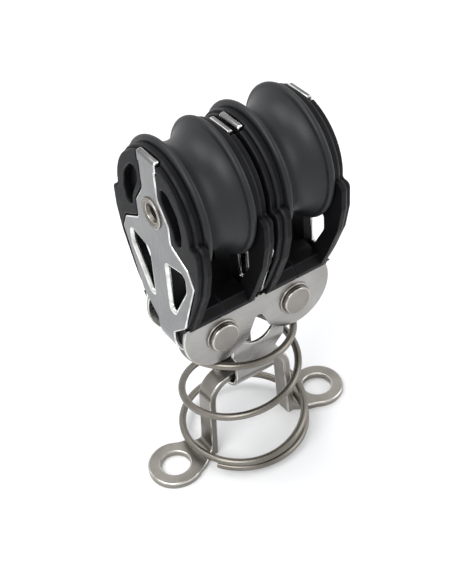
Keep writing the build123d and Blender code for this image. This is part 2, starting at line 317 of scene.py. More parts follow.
@dataclass(frozen=True)
class BrushedSteel(Steel):
    """Sheet polished along one direction: the grain is drawn out into hair lines."""

    stretch: tuple[float, float, float] = (1.0, 1.0, 0.04)

    def grain_field(self, tree: NodeTree, coords: NodeSocket) -> NodeSocket:
        """Grain stretched along the polishing direction."""
        drawn_out = add(tree, "ShaderNodeMapping", {"Vector": coords, "Scale": self.stretch})
        return speckle(tree, drawn_out.outputs[0], self.grain, detail=2.0)


@dataclass(frozen=True)
class TurnedSteel(Steel):
    """Rivet heads faced on a lathe: fine rings round the middle of each head."""

    def grain_field(self, tree: NodeTree, coords: NodeSocket) -> NodeSocket:
        """Rings round the rivets' axes, which lie equally far to the left and to the right.

        Args:
            tree: The material's nodes.
            coords: Object coordinates.

        Returns:
            A number from 0 to 1.
        """
        parts = add(tree, "ShaderNodeSeparateXYZ", {0: coords})
        out = reckon(tree, "ABSOLUTE", parts.outputs["X"])
        x = reckon(tree, "SUBTRACT", out, BLOCK_PITCH / 2 * MM)
        z = reckon(tree, "SUBTRACT", parts.outputs["Z"], (AXLE_HEIGHT - RIVET_DROP) * MM)
        place = add(tree, "ShaderNodeCombineXYZ", {"X": x, "Y": z})
        length = add(tree, "ShaderNodeVectorMath", {0: place.outputs[0]}, operation="LENGTH")
        inputs = {"W": length.outputs["Value"], "Scale": per_mm(self.grain)}
        rings = add(tree, "ShaderNodeTexNoise", inputs, noise_dimensions="1D")
        return rings.outputs["Fac"]


# Moulded nylon: black and matt; the fine mould texture, under 0.2 mm, softens every highlight
# Its rounded edges are painted a lighter bluish grey: a painted sheen
CHEEK_NYLON = MouldedPlastic(
    "black_moulded_nylon", "#121214", "#0b0b0d", "#232427",
    (0.44, 0.58), 0.38, 0.2, 0.035, specular=0.12,
)
# Moulded acetal: black, slicker than the cheeks, so the grooves carry soft long highlights
# Its rounded edges and the rope face next to each rim are coloured darker than the groove
SHEAVE_ACETAL = MouldedPlastic(
    "black_moulded_acetal", "#212224", "#1a1b1d", "#18191b",
    (0.38, 0.48), 0.44, 0.22, 0.03, specular=0.35,
)
# Natural acetal: milky white, smooth
BALL_ACETAL = MouldedPlastic(
    "natural_acetal", "#d8d6cc", "#cfccc0", "#dddbd2", (0.2, 0.3), 0.2, 0.3, 0.003, 2.0
)
# Sheet polished to a soft mirror, hazed by handling; its rounded edges and coined window rims are
# painted brighter than the faces, a painted highlight
STRAP_STEEL = BrushedSteel(
    "polished_stainless_sheet", "#868686", "#6d6d6e", "#e2e2df", (0.22, 0.38), 0.2, 0.12, 0.006
)
# Polished sheet with its hair lines along X; rounded edges painted brighter, a painted highlight
PLATE_STEEL = BrushedSteel(
    "polished_stainless_plate", "#a5a4a1", "#918f8c", "#dad9d5",
    (0.22, 0.36), 0.16, 0.12, 0.006, stretch=(0.04, 1.0, 1.0),
)
# Tumbled strip: grey, satin, slightly pebbled; rounded edges painted brighter, a painted highlight
SADDLE_STEEL = Steel(
    "tumbled_stainless_strip", "#99958f", "#77736e", "#cac7c1", (0.26, 0.44), 0.2, 0.25, 0.014
)
# Drawn wire: warm grey, satin
SPRING_STEEL = Steel(
    "drawn_stainless_wire", "#85817a", "#6e6a63", "#a09b93", (0.24, 0.38), 0.22, 0.2, 0.008
)
# Turned heads: rings, drawn 0.15 mm apart so that they show; rounded edges painted brighter, a
# painted highlight
RIVET_STEEL = TurnedSteel(
    "turned_stainless", "#928e89", "#7c7874", "#bab6b0", (0.26, 0.4), 0.2, 0.15, 0.02
)
# Drawn tube with its ends rolled over: duller and darker inside than the turned heads; its
# rounded lips painted brighter, a painted highlight
TUBE_STEEL = Steel(
    "drawn_stainless_tube", "#7f7b75", "#69655f", "#c0bcb6", (0.34, 0.48), 0.18, 0.2, 0.01
)


def new_object(name: str, data: Mesh | Camera | Light) -> Object:
    """Links a new object into the scene at the origin.

    Args:
        name: Its name.
        data: Its mesh, camera or lamp.

    Returns:
        The object.
    """
    obj = bpy.data.objects.new(name, data)
    bpy.context.scene.collection.objects.link(obj)
    return obj


def settled(obj: Object) -> Object:
    """Applies an object's modifiers for good.

    Args:
        obj: An object with live modifiers.

    Returns:
        The same object with a plain mesh.
    """
    bpy.context.view_layer.update()
    shape = obj.evaluated_get(bpy.context.evaluated_depsgraph_get())
    mesh = bpy.data.meshes.new_from_object(shape)
    obj.modifiers.clear()
    obj.data = mesh
    return obj


def mark_rim(mesh: Mesh, rim: list[float]) -> None:
    """Stores which faces lie along a rounded edge, where the finishes lay their rim colour, mostly
    a painted highlight.

    Args:
        mesh: The mesh.
        rim: 1 for a face along an edge and 0 for any other, in the order of the faces.
    """
    layer = mesh.attributes.new("rim", "FLOAT", "FACE")
    layer.data.foreach_set("value", rim)


def cleaned(node: str) -> Mesh:
    """Copies a CAD node's mesh and makes its flat faces whole again.

    Args:
        node: The node's name.

    Returns:
        The copy, without materials.
    """
    mesh = bpy.data.objects[node].data.copy()
    shape = bmesh.new()
    shape.from_mesh(mesh)
    bmesh.ops.remove_doubles(shape, verts=shape.verts, dist=WELD * MM)
    flat = math.radians(0.4)
    bmesh.ops.dissolve_limit(shape, angle_limit=flat, verts=shape.verts, edges=shape.edges)
    shape.to_mesh(mesh)
    shape.free()
    mesh.materials.clear()
    mesh.polygons.foreach_set("material_index", [0] * len(mesh.polygons))
    return mesh


def refilled(shape: BMesh) -> None:
    """Fills the flat faces that look along X anew, as a moved hole may cross their inner edges.

    Every list is in the mesh's own order. The order of a set changes from run to run, and
    with it a face could be filled across a window.

    Args:
        shape: A closed shape, changed in place.
    """
    levels: dict[tuple[float, int], list[BMFace]] = {}
    for face in shape.faces:
        if abs(face.normal.x) > ALONG_X:
            level = (round(face.verts[0].co.x / MM, 2), round(face.normal.x))
            levels.setdefault(level, []).append(face)
    for (_, way), faces in levels.items():
        inside = set(faces)
        outline = [
            edge
            for edge in dict.fromkeys(edge for face in faces for edge in face.edges)
            if sum(face in inside for face in edge.link_faces) == 1
        ]
        outline.sort(key=lambda edge: edge.index)
        bmesh.ops.delete(shape, geom=faces, context="FACES")
        bmesh.ops.triangle_fill(shape, use_beauty=True, edges=outline, normal=(way, 0, 0))
    flats = [face for face in shape.faces if abs(face.normal.x) > ALONG_X]
    bmesh.ops.dissolve_limit(
        shape,
        angle_limit=math.radians(0.1),
        verts=list(dict.fromkeys(vert for face in flats for vert in face.verts)),
        edges=list(dict.fromkeys(edge for face in flats for edge in face.edges)),
    )
    bmesh.ops.recalc_face_normals(shape, faces=shape.faces)


def relieved(
    name: str,
    mesh: Mesh,
    edge: float,
    rings: int = 3,
    sharp: float = 30.0,
    spare: Callable[[BMEdge], bool] = lambda side: False,
) -> Object:
    """Breaks a mesh's sharp outer edges and marks the new faces as rims.

    Args:
        name: The new piece's name.
        mesh: Its mesh.
        edge: Width of the rounding, in millimetres.
        rings: Faces across the rounding.
        sharp: Outer edges that turn by more than this many degrees are rounded.
        spare: Tells which edges stay sharp all the same.

    Returns:
        The new piece.
    """
    for _ in range(2):
        mesh.materials.append(None)
    shape = bmesh.new()
    shape.from_mesh(mesh)
    weights = shape.edges.layers.float.new("bevel_weight_edge")
    for side in shape.edges:
        turn = side.calc_face_angle_signed(0.0)
        side[weights] = float(turn > math.radians(sharp) and not spare(side))
    shape.to_mesh(mesh)
    shape.free()
    obj = new_object(name, mesh)
    bevel = obj.modifiers.new("edge", "BEVEL")
    bevel.width = edge * MM
    bevel.segments = rings
    bevel.limit_method = "WEIGHT"
    bevel.use_clamp_overlap = False
    bevel.material = RIM_SLOT
    settled(obj)
    rim = [float(face.material_index == RIM_SLOT) for face in obj.data.polygons]
    mark_rim(obj.data, rim)
    obj.data.polygons.foreach_set("material_index", [0] * len(obj.data.polygons))
    obj.data.shade_smooth()
    obj.data.set_sharp_from_angle(angle=math.radians(SHEET_CREASE))
    flat = obj.modifiers.new("flat", "WEIGHTED_NORMAL")
    flat.mode = "FACE_AREA"
    flat.weight = 100
    flat.keep_sharp = True
    return settled(obj)


@dataclass(frozen=True)
class Corner:
    """A corner of a section that is turned on a lathe, and the radius of its rounding."""

    along: float
    radius: float
    rounding: float = 0.0


def section(corners: list[Corner], steps: int = 5) -> tuple[list[Pair], list[float]]:
    """Rounds the corners of a closed section.

    Args:
        corners: The corners in order.
        steps: Faces round each rounded corner.

    Returns:
        The points, and for each the rim value of the face that follows it.
    """
    points: list[Pair] = []
    rim: list[float] = []
    for number, corner in enumerate(corners):
        here = Vector((corner.along, corner.radius))
        before = corners[number - 1]
        after = corners[(number + 1) % len(corners)]
        back = Vector((before.along, before.radius)) - here
        ahead = Vector((after.along, after.radius)) - here
        if corner.rounding == 0:
            points.append((here.x, here.y))
            rim.append(0.0)
            continue
        half = back.angle(ahead) / 2
        reach = corner.rounding / math.tan(half)
        start = here + back.normalized() * reach
        end = here + ahead.normalized() * reach
        inward = (back.normalized() + ahead.normalized()).normalized()
        centre = here + inward * (corner.rounding / math.sin(half))
        first, last = (start - centre).normalized(), (end - centre).normalized()
        for step in range(steps + 1):
            way = first.slerp(last, step / steps) * corner.rounding
            points.append((centre.x + way.x, centre.y + way.y))
            rim.append(float(step < steps))
    return points, rim


def mirrored(half: list[Corner]) -> list[Corner]:
    """Closes a half section with its mirror image, in order."""
    return half + [Corner(-c.along, c.radius, c.rounding) for c in reversed(half)]


def turned(
    name: str, points: list[Pair], rim: list[float], place: Vector, axis: str, steps: int
) -> Object:
    """Turns a closed section about an axis.

    Args:
        name: The new object's name.
        points: Places along the axis and distances from it, in millimetres.
        rim: The rim value of the face that follows each point.
        place: A point on the axis, in millimetres.
        axis: "X" or "Y".
        steps: Faces once round.

    Returns:
        The turned piece, with its faces outwards.
    """
    along = Vector((1, 0, 0)) if axis == "X" else Vector((0, 1, 0))
    out = Vector((0, 1, 0)) if axis == "X" else Vector((0, 0, 1))
    across = along.cross(out)
    shape = bmesh.new()
    rings = []
    for distance, radius in points:
        if radius < ON_AXIS:
            rings.append([shape.verts.new((place + along * distance) * MM)] * steps)
            continue
        ring = []
        for step in range(steps):
            angle = 2 * math.pi * step / steps
            way = out * math.cos(angle) + across * math.sin(angle)
            ring.append(shape.verts.new((place + along * distance + way * radius) * MM))
        rings.append(ring)
    marks = []
    for number, ring in enumerate(rings):
        after = (number + 1) % len(rings)
        following = rings[after]
        if points[number][1] < ON_AXIS and points[after][1] < ON_AXIS:
            continue
        for step in range(steps):
            beside = (step + 1) % steps
            loop = [ring[step], ring[beside], following[beside], following[step]]
            loop = [vert for at, vert in enumerate(loop) if vert is not loop[at - 1]]
            shape.faces.new(loop)
            marks.append(rim[number])
    bmesh.ops.recalc_face_normals(shape, faces=shape.faces)
    mesh = bpy.data.meshes.new(name)
    shape.to_mesh(mesh)
    shape.free()
    mark_rim(mesh, marks)
    mesh.shade_smooth()
    mesh.set_sharp_from_angle(angle=math.radians(TURNED_CREASE))
    return new_object(name, mesh)


class NodeShape:
    """A geometry node tree with named inputs, and the plain mesh that it makes."""

    def __init__(self, name: str, sizes: dict[str, float | int | Material]) -> None:
        """Starts the tree with one named input for each size.

        Args:
            name: The tree's name.
            sizes: Input names and their values; a whole number becomes a count.
        """
        kinds = {float: "NodeSocketFloat", int: "NodeSocketInt", Material: "NodeSocketMaterial"}
        self.sizes = sizes
        self.tree = bpy.data.node_groups.new(name, "GeometryNodeTree")
        sockets = self.tree.interface
        for size, value in sizes.items():
            sockets.new_socket(size, in_out="INPUT", socket_type=kinds[type(value)])
        sockets.new_socket("Geometry", in_out="OUTPUT", socket_type="NodeSocketGeometry")
        self.given = add(self.tree, "NodeGroupInput").outputs

    def calc(self, operation: str, *terms: float | NodeSocket) -> NodeSocket:
        """Adds one step of arithmetic to this tree and returns its result."""
        return reckon(self.tree, operation, *terms)

    def place(self, *terms: float | NodeSocket) -> NodeSocket:
        """Joins three numbers or sockets into a place."""
        return add(self.tree, "ShaderNodeCombineXYZ", dict(enumerate(terms))).outputs[0]

    def finished(self, name: str, shape: NodeSocket) -> Object:
        """Ends the tree, gives it its sizes and turns the result into a plain mesh.

        Args:
            name: The new object's name.
            shape: The geometry to end with.

        Returns:
            The finished piece.
        """
        real = add(self.tree, "GeometryNodeRealizeInstances", {0: shape})
        finish = {"Geometry": real.outputs[0], "Material": self.given["Finish"]}
        coloured = add(self.tree, "GeometryNodeSetMaterial", finish)
        add(self.tree, "NodeGroupOutput", {0: coloured.outputs[0]})
        obj = new_object(name, bpy.data.meshes.new(name))
        maker = obj.modifiers.new("shape", "NODES")
        maker.node_group = self.tree
        for item in self.tree.interface.items_tree:
            if item.in_out == "INPUT":
                maker[item.identifier] = self.sizes[item.name]
        return settled(obj)


def dress(obj: Object, finish: Finish, body: str, slot: str, *nodes: str) -> None:
    """Gives a piece its material, its body and the CAD nodes it stands for.

    Args:
        obj: The piece.
        finish: Its finish.
        body: The body it rides on.
        slot: Not used.
        nodes: The CAD nodes that it replaces.
    """
    obj.data.materials.clear()
    obj.data.materials.append(finish.make())
    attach(obj, body)
    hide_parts(*nodes)
    LOG.info("%s rides on %s: %d faces", obj.name, body, len(obj.data.polygons))


@dataclass
class Wheel:
    """A sheave with its two rows of loose balls and the sleeve they run on."""

    side: Side
    radius: float = 11.0
    half_width: float = 4.4
    rim: float = 1.2
    groove_depth: float = 2.3
    web_radius: float = 8.05
    web_recess: float = 0.7
    hub_radius: float = 6.61
    bore: float = 5.31
    lip_radius: float = 4.86
    lip_inner: float = 3.25
    sleeve_radius: float = 2.63
    sleeve_bore: float = 1.93
    sleeve_half: float = 4.6
    ball_radius: float = 1.3
    ball_circle: float = 3.97
    ball_row: float = 1.75
    ball_count: int = 8
    face_rounding: float = 0.2
    web_rounding: float = 0.3
    lip_rounding: Pair = (0.15, 0.1)
    sleeve_rounding: float = 0.1
    rim_painted_share: float = 0.9
    groove_steps: int = 28
    rim_steps: int = 12

    @property
    def place(self) -> Vector:
        """The middle of the wheel."""
        return Vector((self.side.centre, 0, AXLE_HEIGHT))

    def rope_face(self) -> list[Pair]:
        """The rounded rims and the hollow between them, from the +X rim to the -X rim.

        Returns:
            Places along the axis and distances from it, in millimetres.
        """
        round_radius = self.rim / 2
        edge = self.half_width - self.rim
        start = self.radius - round_radius
        sag = self.groove_depth - round_radius
        curve = (edge**2 + sag**2) / (2 * sag)
        sweep = math.asin(edge / curve)
        floor = self.radius - self.groove_depth
        right = []
        for step in range(self.rim_steps + 1):
            angle = math.pi * step / self.rim_steps
            along = edge + round_radius * (1 + math.cos(angle))
            right.append((along, start + round_radius * math.sin(angle)))
        hollow = []
        for step in range(1, self.groove_steps):
            angle = sweep * (1 - 2 * step / self.groove_steps)
            hollow.append((curve * math.sin(angle), floor + curve * (1 - math.cos(angle))))
        return right + hollow + [(-along, radius) for along, radius in reversed(right)]

    def sheave(self) -> Object:
        """The turned sheave: rope face, dished sides, hub and the lips that hold the balls.

        Returns:
            The sheave.
        """
        floor = self.half_width - self.web_recess
        lip_outer, lip_edge = self.lip_rounding
        half = [
            Corner(self.half_width, self.radius - self.rim / 2),
            Corner(self.half_width, self.web_radius + self.web_recess, self.face_rounding),
            Corner(floor, self.web_radius, self.web_rounding),
            Corner(floor, self.hub_radius + self.web_recess, self.web_rounding),
            Corner(self.half_width, self.hub_radius, self.face_rounding),
            Corner(self.half_width, self.lip_radius, lip_outer),
            Corner(self.lip_inner, self.lip_radius, lip_edge),
            Corner(self.lip_inner, self.bore),
        ]
        points, rim = section(mirrored(half)[::-1])
        face = self.rope_face()[1:-1]
        # The rope face next to each rim takes the darker rim colour
        painted_rim = self.half_width - self.rim * self.rim_painted_share
        marks = rim + [float(abs(along) > painted_rim) for along, _ in face]
        name = f"sheave_{self.side.word}_turned"
        return turned(name, points + face, marks, self.place, "X", steps=160)

    def sleeve(self) -> Object:
        """The plain sleeve between the cheeks.

        Returns:
            The sleeve.
        """
        half = [
            Corner(-self.sleeve_half, self.sleeve_bore, self.sleeve_rounding),
            Corner(-self.sleeve_half, self.sleeve_radius, self.sleeve_rounding),
        ]
        name = f"sleeve_{self.side.word}"
        return turned(name, *section(mirrored(half)), self.place, "X", steps=64)

    def balls(self) -> Object:
        """Both rows of balls, each ball set on its row's circle.

        Returns:
            The two rows as one piece.
        """
        shape = NodeShape(
            f"ball_rows_{self.side.word}",
            {
                "Balls in a row": self.ball_count,
                "Circle": self.ball_circle * MM,
                "Ball": self.ball_radius * MM,
                "Row": self.ball_row * MM,
                "Middle": self.side.centre * MM,
                "Height": AXLE_HEIGHT * MM,
                "Finish": BALL_ACETAL.make(),
            },
        )
        tree, given = shape.tree, shape.given
        row_size = {"Vertices": given["Balls in a row"], "Radius": given["Circle"]}
        circle = add(tree, "GeometryNodeMeshCircle", row_size)
        ball_size = {"Segments": 20, "Rings": 12, "Radius": given["Ball"]}
        ball = add(tree, "GeometryNodeMeshUVSphere", ball_size)
        smooth = add(tree, "GeometryNodeSetShadeSmooth", {"Geometry": ball.outputs["Mesh"]})
        stand = {"Points": circle.outputs["Mesh"], "Instance": smooth.outputs[0]}
        row = add(tree, "GeometryNodeInstanceOnPoints", stand)
        both = add(tree, "GeometryNodeJoinGeometry")
        for way in (-1.0, 1.0):
            middle = shape.calc("MULTIPLY_ADD", given["Row"], way, given["Middle"])
            seat = {
                "Geometry": row.outputs[0],
                "Translation": shape.place(middle, 0.0, given["Height"]),
                "Rotation": (0.0, math.pi / 2, 0.0),
            }
            set_row = add(tree, "GeometryNodeTransform", seat)
            tree.links.new(set_row.outputs[0], both.inputs[0])
        return shape.finished(f"balls_{self.side.word}_rows", both.outputs[0])

    def build(self) -> None:
        """Makes and dresses the wheel's pieces."""
        word = self.side.word
        dress(self.sheave(), SHEAVE_ACETAL, f"wheel_{word}", "sheave_plastic", f"sheave_{word}")
        dress(self.balls(), BALL_ACETAL, f"ball_set_{word}", "ball_plastic", f"balls_{word}")
        dress(self.sleeve(), CHEEK_NYLON, "head", "race_plastic", f"race_{word}")


@dataclass
class Axle:
    """The hollow axle with an end rolled over each cheek's strap.

    Each corner of the funnel has its depth from the end, distance past the bore and rounding.
    """

    side: Side
    strap_face: float = 6.7
    radius: float = 1.9
    bore: float = 1.35
    head_radius: float = 2.6
    head_height: float = 0.3
    head_rounding: Pair = (0.12, 0.06)
    head_taper: float = 0.1
    funnel: tuple[tuple[float, float, float], ...] = (
        (0.8, 0.0, 0.1),
        (0.22, 0.22, 0.12),
        (0.1, 0.55, 0.1),
        (0.0, 0.75, 0.08),
    )

    def build(self) -> None:
        """Turns the tube and its two flared heads, each with a rounded lip round a funnel."""
        end = self.strap_face + self.head_height
        lip, back = self.head_rounding
        half = [
            *(Corner(end - deep, self.bore + past, edge) for deep, past, edge in self.funnel),
            Corner(end, self.head_radius - self.head_taper, lip),
            Corner(self.strap_face, self.head_radius, back),
            Corner(self.strap_face, self.radius),
        ]
        word = self.side.word
        place = Vector((self.side.centre, 0, AXLE_HEIGHT))
        axle = turned(f"axle_{word}_turned", *section(mirrored(half)), place, "X", steps=72)
        dress(axle, TUBE_STEEL, "head", "rivet_steel", f"axle_{word}")


@dataclass
class Rivet:
    """The rivet through one block's base, with a collar and a flat round head at each end.

    The neck is the groove between head and collar, a little deeper by the head.
    """

    side: Side
    plate_face: float = 5.6
    shank: float = 1.5
    head_radius: float = 2.6
    head_height: float = 1.1
    collar_radius: float = 2.95
    collar_height: float = 0.3
    neck: float = 0.12
    neck_wall: float = 0.8
    neck_depth: Pair = (0.3, 0.25)
    crown: float = 0.03
    head_taper: float = 0.12
    head_rounding: Pair = (0.25, 0.08)
    collar_rounding: float = 0.1

    def build(self) -> None:
        """Turns the rivet: the neck under each head reads as a dark line."""
        end = self.plate_face + self.head_height
        collar = self.plate_face + self.collar_height
        upper, lower = self.neck_depth
        face_edge, back_edge = self.head_rounding
        half = [
            Corner(end, 0.0),
            Corner(end - self.crown, self.head_radius - self.head_taper, face_edge),
            Corner(collar + self.neck, self.head_radius, back_edge),
            Corner(collar + self.neck * self.neck_wall, self.head_radius - upper),
            Corner(collar, self.head_radius - lower),
            Corner(collar, self.collar_radius, self.collar_rounding),
            Corner(self.plate_face, self.collar_radius),
            Corner(self.plate_face, self.shank),
        ]
        word = self.side.word
        place = Vector((self.side.centre, 0, AXLE_HEIGHT - RIVET_DROP))
        rivet = turned(f"rivet_{word}_turned", *section(mirrored(half)), place, "Y", steps=96)
        dress(rivet, RIVET_STEEL, "head", "rivet_steel", f"rivet_{word}")


@dataclass
class Shell:
    """One block's two moulded cheeks and the strap folded round them.

    Faces are given from the block's middle plane, and drops from the axle downwards. Each
    window keeps its rim's width from the flank, which tapers below the shoulder. A pocket's
    floor is told by its area, in square millimetres. The coined turn is in radians.
    """

    side: Side
    cheek_edge: float = 0.22
    strap_edge: float = 0.22
    seat_face: float = 5.9
    wall_face: float = 4.6
    pad_face: float = 6.35
    pad_raise: float = 0.33
    pocket_floor: float = 5.3
    pocket_easing: float = 0.75
    pocket_drop: float = 3.0
    pocket_area: float = 4.0
    pocket_side: float = 0.8
    pocket_cuts: int = 4
    tab_drop: float = -8.4
    tab_raise: float = 0.5
    window_raise: float = 0.9
    window_rim: float = 1.3
    window_inner: float = 2.2
    window_drops: Pair = (7.5, 18.3)
    shoulder_width: float = 9.9
    shoulder_drop: float = 8.2
    flank_taper: float = 0.371
    hole_zone: float = 3.0
    strap_face: float = 6.7
    coining: float = 0.5
    coined_turn: float = 1.0

    def eased(self, loop: list[Vector], dense: int = 400) -> list[Vector]:
        """Softens a closed outline as a mould cutter would, and finds each point's new place.

        Args:
            loop: The outline's corners in order, in metres.
            dense: Samples taken round it.

        Returns:
            The corners' new places.
        """
        steps = [(loop[(i + 1) % len(loop)] - point).length for i, point in enumerate(loop)]
        around = sum(steps)
        samples, at, passed = [], 0, 0.0
        for number in range(dense):
            want = around * number / dense
            while passed + steps[at] < want:
                passed += steps[at]
                at += 1
            samples.append(loop[at].lerp(loop[(at + 1) % len(loop)], (want - passed) / steps[at]))
        reach = max(1, round(self.pocket_easing * MM / around * dense))
        places, gone = [], 0.0
        for step in steps:
            middle = round(gone / around * dense)
            near = [samples[(middle + k) % dense] for k in range(-reach, reach + 1)]
            places.append(sum(near, Vector()) / len(near))
            gone += step
        return places

    def ease_pockets(self, mesh: Mesh, outward: int) -> None:
        """Rounds the two kidney-shaped pockets of a cheek.

        Args:
            mesh: The cheek's clean mesh.
            outward: 1 if the cheek faces +X and -1 if it faces -X.
        """
        shape = bmesh.new()
        shape.from_mesh(mesh)
        level = (self.side.centre + outward * self.pocket_floor) * MM
        lowest = (AXLE_HEIGHT - self.pocket_drop) * MM
        floors = [
            face
            for face in shape.faces
            if all(abs(v.co.x - level) < LEVEL * MM and v.co.z > lowest for v in face.verts)
            and face.calc_area() > self.pocket_area * MM**2
        ]
        walls = [
            next(other for other in edge.link_faces if other is not face)
            for face in floors
            for edge in face.edges
            if edge.calc_length() > self.pocket_side * MM
        ]
        around = dict.fromkeys(
            edge
            for wall in walls
            for edge in wall.edges
            if abs(edge.verts[0].co.x - edge.verts[1].co.x) < LEVEL * MM
        )
        bmesh.ops.subdivide_edges(
            shape, edges=list(around), cuts=self.pocket_cuts, use_grid_fill=True
        )
        for face in floors:
            loop = list(face.verts)
            for vert, place in zip(loop, self.eased([vert.co.copy() for vert in loop])):
                moved = place - vert.co
                upper = [
                    edge.other_vert(vert)
                    for edge in vert.link_edges
                    if abs(edge.other_vert(vert).co.x - level) > APART * MM
                ]
                for each in (vert, *upper):
                    each.co += moved
        shape.to_mesh(mesh)
        shape.free()

    def cheek(self, place: str, outward: int) -> None:
        """One cheek, its raised face brought up level with the strap that it surrounds.

        Args:
            place: "outer" or "inner", as the node's name has it.
            outward: 1 if the cheek faces +X and -1 if it faces -X.
        """
        node = f"cheek_{self.side.word}_{place}"
        mesh = cleaned(node)
        self.ease_pockets(mesh, outward)
        for vert in mesh.vertices:
            if outward * (vert.co.x - self.side.centre * MM) > (self.pad_face - APART) * MM:
                vert.co.x += outward * self.pad_raise * MM
        piece = relieved(f"{node}_moulded", mesh, self.cheek_edge, spare=self.hidden)
        dress(piece, CHEEK_NYLON, "head", "cheek_plastic", node)

    def in_window(self, place: Vector) -> bool:
        """Whether a point of the strap or its seat lies on the edge of a window.

        Args:
            place: The point, in metres.

        Returns:
            True if it does.
        """
        top, bottom = self.window_drops
        drop = AXLE_HEIGHT - place.z / MM
        flank = self.shoulder_width - self.flank_taper * (drop - self.shoulder_drop)
        beside = self.window_inner < abs(place.y) / MM < flank - self.window_rim
        return beside and top < drop < bottom

    def hidden(self, side: BMEdge) -> bool:
        """Whether a cheek's edge lies in the strap's seat, by the sheave or round a hole there.

        Args:
            side: The edge.

        Returns:
            True if both its ends do.
        """
        faces = (self.seat_face, self.wall_face)
        return all(
            math.hypot(vert.co.y, vert.co.z - AXLE_HEIGHT * MM) < self.hole_zone * MM
            or self.in_window(vert.co)
            or min(abs(abs(vert.co.x / MM - self.side.centre) - face) for face in faces) < 2 * LEVEL
            for vert in side.verts
        )

    def strap(self) -> None:
        """The strap: tabs and windows as high as the real one's, the windows' edges coined."""
        node = f"strap_{self.side.word}"
        shape = bmesh.new()
        shape.from_mesh(cleaned(node))
        windows = {vert for vert in shape.verts if self.in_window(vert.co)}
        for vert in windows:
            vert.co.z += self.window_raise * MM
        for vert in shape.verts:
            if AXLE_HEIGHT - vert.co.z / MM < self.tab_drop:
                vert.co.z += self.tab_raise * MM
        refilled(shape)
        face = self.strap_face - APART / 2
        edges = [
            edge
            for edge in shape.edges
            if all(v in windows and abs(v.co.x / MM - self.side.centre) > face for v in edge.verts)
            and edge.calc_face_angle(0.0) > self.coined_turn
        ]
        coined = bmesh.ops.bevel(
            shape, geom=edges, offset=self.coining * MM, offset_type="OFFSET",
            segments=3, profile=0.5, affect="EDGES", clamp_overlap=False,
        )
        # The coined faces take the rim colour: a painted highlight along the windows' edges
        for new in coined["faces"]:
            new.material_index = RIM_SLOT
        mesh = bpy.data.meshes.new(node)
        shape.to_mesh(mesh)
        shape.free()
        piece = relieved(f"{node}_pressed", mesh, self.strap_edge)
        dress(piece, STRAP_STEEL, "head", "strap_steel", node)

    def build(self) -> None:
        """Makes the cheeks and the strap."""
        self.cheek("outer", self.side.value)
        self.cheek("inner", -self.side.value)
        self.strap()


@dataclass
class Bracket:
    """The two plates that hold the blocks side by side, and the yoke that hangs between them."""

    edge: float = 0.14

    def build(self) -> None:
        """Relieves the sheared edges and dresses the three pieces."""
        for node in ("front_plate", "back_plate", "yoke"):
            piece = relieved(f"{node}_pressed", cleaned(node), self.edge)
            dress(piece, PLATE_STEEL, "head", "plate_steel", node)


